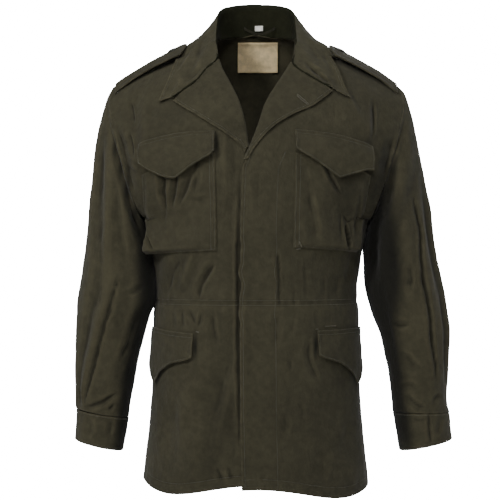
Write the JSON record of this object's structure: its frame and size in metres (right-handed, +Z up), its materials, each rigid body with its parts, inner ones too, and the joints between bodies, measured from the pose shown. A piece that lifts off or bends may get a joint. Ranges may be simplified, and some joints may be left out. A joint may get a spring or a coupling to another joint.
{
  "type": "field jacket",
  "caption": "Hollow field jacket filled out as worn, with an open collar and lapels, flap pockets, shoulder straps and buttoned cuffs.",
  "frame": {"origin": "middle of the neck opening, level with the tops of the shoulder seams, where the wearer's shoulders hold the jacket up", "axes": "+X to the wearer's left, -Y to the front, +Z up"},
  "size_m": [0.6051, 0.2556, 0.7875],
  "materials": {
    "cloth": "matt green cotton sateen",
    "button": "matt dark green plastic",
    "tape": "woven cotton tape",
    "label": "bare tan woven label",
    "tag": "bare white tag"
  },
  "bodies": {
    "root": {"front_left": "cloth", "front_right": "cloth", "back": "cloth", "sleeve_left": "cloth", "sleeve_right": "cloth", "cuff_left": "cloth", "cuff_right": "cloth", "lapel_left": "cloth", "lapel_right": "cloth", "collar": "cloth", "chest_pocket_left": "cloth", "chest_pocket_right": "cloth", "chest_flap_left": "cloth", "chest_flap_right": "cloth", "hip_flap_left": "cloth", "hip_flap_right": "cloth", "shoulder_strap_left": "cloth", "shoulder_strap_right": "cloth", "strap_button_left": "button", "strap_button_right": "button", "cuff_button_left": "button", "cuff_button_right": "button", "hanger_loop": "tape", "neck_label": "label", "size_tag": "tag"}
  },
  "joints": []
}
